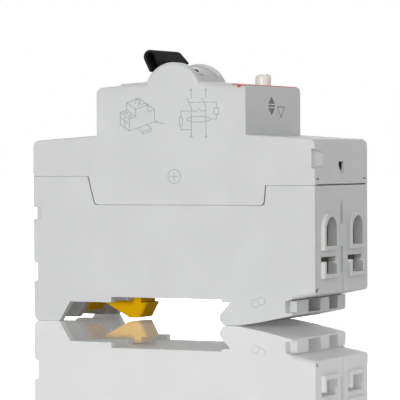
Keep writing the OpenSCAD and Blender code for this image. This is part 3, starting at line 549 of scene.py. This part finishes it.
def pole_diagram(at):
    """Circuit of the two poles about its middle: each pole's line with its open blade and its two ends, the
    sum ring round both, the trip link, and the test branch with its resistor and push contact."""
    paths, loops = [], []
    for x in (-2.2, 2.2):
        paths += [[(x, 6.0), (x, 3.9)], [(x - 1.25, 4.1), (x, 1.7)], [(x, 1.7), (x, -6.0)]]
        loops += [circle((x, 6.25), 0.25, 14), circle((x, -6.25), 0.25, 14)]
    loops.append(circle((0, 0), 1.0, 48) * (3.5, 0.75) + (0, -1.6))
    paths += [
        [(3.5, -1.6), (5.3, -1.6), (5.3, -0.3)],
        [(5.3, 1.3), (5.3, 2.9), (3.9, 2.9)],
        [(3.2, 2.9), (1.6, 2.9)],
        [(0.9, 2.9), (-0.6, 2.9)],
        [(-1.3, 2.9), (-2.7, 2.9)],
        [(2.2, 0.6), (0.9, 0.6)],
        [(0.9, 0.6), (-0.2, 1.2)],
        [(-0.4, 0.6), (-5.3, 0.6), (-5.3, -1.0)],
        [(-5.3, -3.2), (-5.3, -4.4), (-2.2, -4.4)],
    ]
    loops += [
        [(4.6, -0.3), (6.0, -0.3), (6.0, 1.3), (4.6, 1.3)],
        [(-5.75, -1.0), (-4.85, -1.0), (-4.85, -3.2), (-5.75, -3.2)],
    ]
    open_lines = lines([np.asarray(path) + at for path in paths], DIAGRAM_LINE)
    return open_lines + lines([np.asarray(loop) + at for loop in loops], DIAGRAM_LINE, closed=True)


def device_sketch(at):
    """Sketch of a device on its rail in a slanted projection: the stepped body, its front block with a
    toggle, the screw wells, a stub of rail in front of it and an arrow to its foot."""
    slant = 1.25 * np.array([[0.88, 0.28], [-0.55, 0.36], [0.0, 1.0]])
    paths = [
        [(0, 0, 0), (7, 0, 0), (7, 0, 2.6), (5.2, 0, 2.6), (5.2, 0, 4.2), (1.8, 0, 4.2), (1.8, 0, 2.6),
         (0, 0, 2.6), (0, 0, 0)],
        [(0, 0, 0), (0, 4, 0), (0, 4, 2.6), (0, 0, 2.6)],
        [(0, 4, 2.6), (1.8, 4, 2.6), (1.8, 0, 2.6)],
        [(1.8, 4, 2.6), (1.8, 4, 4.2), (1.8, 0, 4.2)],
        [(1.8, 4, 4.2), (5.2, 4, 4.2), (5.2, 0, 4.2)],
        [(7, 0, 2.6), (7, 4, 2.6), (6.2, 4, 2.6)],
        [(0, 2, 0), (0, 2, 2.6)],
        [(0, 0, 1.5), (0, 4, 1.5)],
        [(3.1, 0.9, 4.2), (3.5, 0.9, 5.2), (3.5, 2.3, 5.2), (3.1, 2.3, 4.2)],
        [(3.5, 0.9, 5.2), (3.9, 0.9, 4.2)],
        [(2.2, 0, 0), (2.2, -2.2, 0), (4.8, -2.2, 0), (4.8, 0, 0)],
        [(2.2, -2.2, 0), (2.2, -2.2, -0.5), (4.8, -2.2, -0.5)],
        [(4.8, -2.2, 0), (4.8, -2.2, -0.5)],
        [(9.6, 0, -1.2), (7.3, 0, -0.1)],
        [(7.75, 0, 0.1), (7.3, 0, -0.1), (7.7, 0, -0.65)],
    ]
    turn = np.linspace(0, 2 * np.pi, 17)
    for y in (1, 3):
        well = [0.9 + 0.4 * np.cos(turn), y + 0.5 * np.sin(turn), np.full_like(turn, 2.6)]
        paths.append(np.column_stack(well))
    return lines([np.asarray(path, float) @ slant + at for path in paths], SKETCH_LINE)


def cross_mark(at, radius, arm):
    """Round cross mark: a circle, and two lines through its middle that reach one arm to each side."""
    x, z = at
    bars = [[(x - arm, z), (x + arm, z)], [(x, z - arm), (x, z + arm)]]
    return [stroke(circle(at, radius, 44), CROSS_LINE, closed=True)] + lines(bars, CROSS_LINE)


printed(
    "near_side_print",
    device_sketch((-12.4, 52.0)) + pole_diagram((8.6, 56.6)) + cross_mark((1.2, 39.7), radius=1.9, arm=1.3),
    on_near_side, print_ink, "housing")

arrow_up = patch([(-3.3, 59.2), (0.9, 59.2), (-1.2, 61.15)])
arrow_bar = patch([(-3.3, 58.35), (0.9, 58.35), (0.9, 58.85), (-3.3, 58.85)])
arrow_down = patch([(-3.3, 58.0), (-1.2, 56.05), (0.9, 58.0)])
open_arrow = stroke([(2.5, 58.45), (7.2, 58.45), (4.85, 55.6)], ARROW_LINE, closed=True)
printed("front_end_print", [arrow_up, arrow_bar, arrow_down, open_arrow], on_front_end, mark_ink, "housing")

front_shapes = character("T", (10.9, 9.65), height=1.8, width=SIGN_LINE)
front_shapes.append(stroke(circle((-4.0, 9.0), 4.4, 60), FRONT_LINE, closed=True))
for pole_y in (7.6, 10.4):
    front_shapes += lines([
        [(-10.5, pole_y), (-5.8, pole_y)], [(-5.8, pole_y), (-3.6, pole_y - 1.0)],
        [(-3.4, pole_y), (5.2, pole_y)]], FRONT_LINE)
sum_ring = circle((0, 0), 1.0, 36) * (0.6, 2.6) + (-1.6, 9.0)
front_shapes.append(stroke(sum_ring, FRONT_LINE, closed=True))
printed("front_print", front_shapes, on_front, print_ink, "housing")

number_shapes = []
for number, x, y in (("1", -26.4, -8.2), ("3", -26.4, 9.3), ("2", 24.4, -8.2), ("4", 24.4, 9.3)):
    number_shapes += character(number, (x, y), height=2.0, width=NUMBER_LINE)
printed("shoulder_print", number_shapes, on_shoulders, print_ink, "housing")

printed("drum_dash", lines([[(10.3, -11.49), (10.77, -8.95)]], DASH_LINE), on_drum, mark_ink, "toggle")
bar_path = np.linspace((7.84, -9.54), (9.4, -10.85), 9)
bar_rows = [bar_path + (0, y) for y in (-0.63, -0.21, 0.21, 0.63)]
printed("drum_bar", lines(bar_rows, BAR_LINE), on_drum, dark_ink_and_painted_shade, "toggle")

# Painted shade: near-black patches on the floors of the corner mark and of the window in the hook end,
# standing for the shade in these holes
corner_shade_outline = [(-16.95, 9.49), (-16.3, 9.22), (-15.35, 10.36), (-16.48, 10.18)]
printed("corner_mark_painted_shade", [patch(corner_shade_outline)], shade_plane_in_hook_end(CORNER_SHADE_X), dark_ink_and_painted_shade, "housing")
window_shade_outline = [(-1.9, 43.5), (0.7, 41.0), (1.1, 41.0), (1.4, 43.5)]
printed("window_painted_shade", [patch(window_shade_outline)], shade_plane_in_hook_end(WINDOW_SHADE_X), dark_ink_and_painted_shade, "housing")


# Moulded rings and seam

ring_places = ((25.2, 6.1), (26.9, 6.75))
points, faces = join([bead_ring(at, radius=1.05, width=0.3, height=0.024) for at in ring_places])
piece("moulded_rings", on_near_side(points), faces, housing_plastic, "housing", SMOOTH)

ejector_places = ((-33.0, 15.0), (33.0, 15.0), (-33.0, 30.0), (33.0, 30.0))
points, faces = join([bead_ring(at, radius=2.1, width=0.35, height=0.08) for at in ejector_places])
piece("ejector_rings", on_far_side(points), faces, housing_plastic, "housing", SMOOTH)


def seam_strip(path, z):
    """Strip that closes a seam: a flat box profile carried along the wall just behind its face, a little
    lower than the seam is high."""
    points, faces = stroke(path, STRIP_DEPTH)
    lift = (points[:, 2] - INK_FOOT) / (INK_TOP - INK_FOOT) - 0.5
    return np.column_stack([points[:, :2], z + STRIP_HEIGHT * lift]), faces


clip_end_path = [(-25.6, -17.2), (-42.2, -17.2), (-42.2, 17.2), (-25.6, 17.2)]
points, faces = join(
    [seam_strip(clip_end_path, SEAM_CLIP_Z)]
    + [seam_strip([(-22.2, y), (26.7, y)], SEAM_MIDDLE_Z) for y in (-17.1, 17.1)]
    + [seam_strip([(28.5, y), (42.0, y)], SEAM_HOOK_Z) for y in (-17.2, 17.2)])
piece("seam_lip", points, faces, housing_plastic, "housing")


# Wound and flexible pieces

def coil(centre, axis, across, radius, wire, height, turns, steps=36):
    """Coil spring: a wire carried round the axis while it rises evenly. Its first and last three quarters of
    a turn rise by one wire only, closed against their neighbour."""
    t = np.linspace(0, turns, turns * steps + 1)
    flat = 0.75
    rise = np.clip((t - flat) / (turns - 2 * flat), 0, 1) * (height - 3 * wire) + wire / 2
    rise = rise + wire * np.clip(t / flat, 0, 1) + wire * np.clip((t - turns + flat) / flat, 0, 1)
    axis, across = np.asarray(axis, float), np.asarray(across, float)
    other = np.cross(axis, across)
    out = np.cos(2 * np.pi * t)[:, None] * across + np.sin(2 * np.pi * t)[:, None] * other
    path = np.asarray(centre) + radius * out + rise[:, None] * axis
    return tube(path, out, wire / 2, sides=12)


button_low, button_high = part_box("button_spring")
button_height = (button_high.z - button_low.z) / MM
points, faces = coil(
    (BUTTON_X, POLE_Y, button_low.z / MM), axis=(0, 0, 1), across=(1, 0, 0), radius=BUTTON_COIL_R,
    wire=BUTTON_WIRE, height=button_height, turns=5)
button_coil = piece("button_spring_coil", points, faces, spring_steel, "housing", SMOOTH)
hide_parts("button_spring")
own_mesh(button_coil)

spring_low, spring_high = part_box("toggle_spring")
toggle_length = (spring_high.y - spring_low.y) / MM
points, faces = coil(
    (PIVOT[0], spring_high.y / MM, PIVOT[1]), axis=(0, -1, 0), across=(1, 0, 0), radius=TOGGLE_COIL_R,
    wire=TOGGLE_WIRE, height=toggle_length, turns=3)
toggle_coil = piece(
    "toggle_spring_coil", points, faces, spring_steel, frame["nodes"]["toggle_spring"]["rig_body"],
    SMOOTH)
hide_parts("toggle_spring")


def braid_strands(low, high, strands=16, turns=3.0, steps=72):
    """Copper braid: on a bent line that leaves both of its ends upright, half of the strands wind one way and
    half the other; each one weaves in and out as it passes the others, and is a thin round wire."""
    t = np.linspace(0, 1, steps)[:, None]
    s = 1 - t
    up = np.array([0, 0, (high[2] - low[2]) / 2])
    line = s**3 * low + 3 * s**2 * t * (low + up) + 3 * s * t**2 * (high - up) + t**3 * high
    along = unit(np.gradient(line, axis=0))
    n = unit(np.array([1.0, 0, 0]) - along[:, :1] * along)
    b = np.cross(along, n)
    shapes = []
    for k in range(strands):
        way = 1 if k % 2 else -1
        a = 2 * np.pi * (way * turns * t + (k // 2) / (strands / 2))
        weave = BRAID_R - STRAND_R - STRAND_WEAVE + STRAND_WEAVE * way * np.cos(strands * a / way)
        out = np.cos(a) * n + np.sin(a) * b
        shapes.append(tube(line + weave * out, out, STRAND_R, sides=6))
    return join(shapes)


lean = math.radians(CARRIER_LEAN)
arm_x = PIVOT[0] + BRAID_ARM[0] * math.cos(lean) + BRAID_ARM[1] * math.sin(lean)
arm_z = CARRIER_Z - BRAID_ARM[0] * math.sin(lean) + BRAID_ARM[1] * math.cos(lean) - BRAID_SINK
for side, tag in ((-1, "near"), (1, "far")):
    braid_low = np.array([BRAID_LOW[0], side * BRAID_LOW[1], BRAID_LOW[2]])
    braid_high = np.array([arm_x, side * POLE_Y, arm_z])
    points, faces = braid_strands(braid_low, braid_high)
    strands = piece("braid_" + tag + "_strands", points, faces, strand_copper, None, SMOOTH)
    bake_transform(strands)
    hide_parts("braid_" + tag)


def boxed(v):
    """A cosine or sine drawn towards a square wave: its sign times the fifth root of its size."""
    return np.sign(v) * np.abs(v) ** 0.2


def winding_turns(turns=22, steps=48):
    """Sensor winding: a wire carried round the rectangular section of the ring, with boxed cosine and sine
    for its rounded corners, while it moves along the ring from one end of its span to the other."""
    t = np.linspace(0, turns, turns * steps + 1)
    a = np.radians(WINDING_START + WINDING_SPAN * t / turns)
    u = 2 * np.pi * t
    half_r = (RING_OUT - RING_BORE) / 4 + WINDING_WIRE + WINDING_SLIP
    half_x = (RING_X[1] - RING_X[0]) / 2 + WINDING_WIRE + WINDING_SLIP
    reach = (RING_OUT + RING_BORE) / 4 + half_r * boxed(np.cos(u))
    x = sum(RING_X) / 2 + half_x * boxed(np.sin(u))
    path = np.column_stack([x, reach * np.cos(a), RING_Z + reach * np.sin(a)])
    round_ring = np.column_stack([np.zeros_like(a), -np.sin(a), np.cos(a)])
    return tube(path, round_ring, WINDING_WIRE, sides=8)


points, faces = winding_turns()
winding = piece("sensor_winding_turns", points, faces, strand_copper, "housing", WINDING_SMOOTH)
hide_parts("sensor_winding")


# Studio: the floor, the soft light, and the camera as it was fitted to the photograph

FLOOR_Z = -0.02
FLOOR_RADII = (20.0, 6000.0)
FLOOR_GLOW = 0.62
SOFT_LIGHT = 0.245
CAMERA_AT = (315.13, -626.60, 44.95)
YAW = math.radians(26.69)
PITCH = math.radians(0.97)
ROLL = math.radians(-0.240)
FOCAL_PIXELS = 2552.0
PICTURE_PIXELS = 400.0
SENSOR_WIDTH = 36.0


def floor_finish():
    """Polished white table: a pale base with faint slow marks, and over it a clear reflection that grows as
    the table is seen flatter. The camera sees the base brighter than it is lit, up to white."""
    made, tree, base = finish("table_white")
    haze = spread(tree, size=60.0)
    pale = ramp(tree, haze, [(0.3, (0.90, 0.90, 0.90)), (0.7, (0.92, 0.92, 0.92))])
    tree.links.new(pale, base.inputs["Base Color"])
    base.inputs["Specular IOR Level"].default_value = 0.0
    base.inputs["Emission Color"].default_value = WHITE
    seen = add(tree, "LightPath").outputs["Is Camera Ray"]
    glow = between(tree, seen, low=0.0, high=FLOOR_GLOW, start=0.0, end=1.0)
    tree.links.new(glow, base.inputs["Emission Strength"])
    mirror = add(tree, "BsdfPrincipled", {"Base Color": WHITE, "Metallic": 1.0})
    tree.links.new(between(tree, haze, low=0.01, high=0.03), mirror.inputs["Roughness"])
    flat = add(tree, "Fresnel", {"IOR": 1.5}).outputs["Fac"]
    both = add(tree, "MixShader")
    tree.links.new(between(tree, flat, low=0.04, high=0.8, start=0.04, end=0.58), both.inputs["Fac"])
    tree.links.new(base.outputs["BSDF"], both.inputs[1])
    tree.links.new(mirror.outputs["BSDF"], both.inputs[2])
    tree.links.new(both.outputs["Shader"], tree.nodes["Material Output"].inputs["Surface"])
    return made


def table_top(rings=24, spokes=72):
    """Floor: rings of growing width about the middle, on one level."""
    r = np.geomspace(*FLOOR_RADII, rings)[:, None]
    a = np.linspace(0, 2 * np.pi, spokes, endpoint=False)[None, :]
    rim = np.stack([r * np.cos(a), r * np.sin(a), np.full((rings, spokes), FLOOR_Z)], axis=-1)
    faces = grid_faces(rings, spokes, False, True).tolist() + [list(range(spokes))]
    return rim.reshape(-1, 3), faces


points, faces = table_top()
floor = piece("floor", points, faces, floor_finish(), None)
floor_up = bmesh.new()
floor_up.from_mesh(floor.data)
if sum(f.normal.z for f in floor_up.faces) < 0:
    bmesh.ops.reverse_faces(floor_up, faces=floor_up.faces)
floor_up.to_mesh(floor.data)
floor_up.free()

scene = bpy.context.scene
scene.view_settings.view_transform = "Standard"
room = bpy.data.worlds.new("studio")
scene.world = room
room.use_nodes = True
air = room.node_tree
air.nodes.clear()
sky_out = air.nodes.new("ShaderNodeOutputWorld")
seen = add(air, "LightPath")
soft_light = add(air, "Background", {"Color": WHITE, "Strength": SOFT_LIGHT})
white_back = add(air, "Background", {"Color": WHITE, "Strength": 1.0})
either = add(air, "Math", operation="MAXIMUM")
any_of = add(air, "Math", operation="MAXIMUM")
air.links.new(seen.outputs["Is Camera Ray"], either.inputs[0])
air.links.new(seen.outputs["Is Glossy Ray"], either.inputs[1])
air.links.new(either.outputs["Value"], any_of.inputs[0])
air.links.new(seen.outputs["Is Transmission Ray"], any_of.inputs[1])
choose = add(air, "MixShader")
air.links.new(any_of.outputs["Value"], choose.inputs["Fac"])
air.links.new(soft_light.outputs["Background"], choose.inputs[1])
air.links.new(white_back.outputs["Background"], choose.inputs[2])
air.links.new(choose.outputs["Shader"], sky_out.inputs["Surface"])


def lamp(name, strength, direction, width):
    """A lamp far away that shines from the given direction to the object; its width in the sky, in degrees,
    softens its shadows."""
    light = bpy.data.lights.new(name, "SUN")
    light.energy = strength
    light.angle = math.radians(width)
    made = bpy.data.objects.new(name, light)
    made.rotation_mode = "QUATERNION"
    made.rotation_quaternion = Vector(direction).to_track_quat("Z", "Y")
    scene.collection.objects.link(made)


lamp("key_lamp", strength=1.14, direction=(0.02, -1.0, 0.075), width=6)
lamp("side_lamp", strength=0.58, direction=(0.75, -0.65, 0.45), width=50)
lamp("top_lamp", strength=0.18, direction=(0.25, -0.25, 1.0), width=60)
lamp("back_lamp", strength=0.5, direction=(-0.6, 0.8, 0.35), width=40)

# Camera: turned by its yaw, then tipped by its pitch, then rolled about its line of sight
level_sight = Vector((-math.sin(YAW), math.cos(YAW), 0))
level_right = Vector((math.cos(YAW), math.sin(YAW), 0))
level_up = Vector((0, 0, 1))
sight = level_sight * math.cos(PITCH) - level_up * math.sin(PITCH)
tipped_up = level_up * math.cos(PITCH) + level_sight * math.sin(PITCH)
right = level_right * math.cos(ROLL) + tipped_up * math.sin(ROLL)
up = tipped_up * math.cos(ROLL) - level_right * math.sin(ROLL)
lens = bpy.data.cameras.new("photo_camera")
lens.sensor_fit = "HORIZONTAL"
lens.sensor_width = SENSOR_WIDTH
lens.lens = FOCAL_PIXELS * SENSOR_WIDTH / PICTURE_PIXELS
lens.clip_start = 0.01
lens.clip_end = 100.0
camera = bpy.data.objects.new("photo_camera", lens)
turn = Matrix((right, up, -sight)).transposed().to_4x4()
camera.matrix_world = Matrix.Translation(Vector(CAMERA_AT) * MM) @ turn
scene.collection.objects.link(camera)
scene.camera = camera
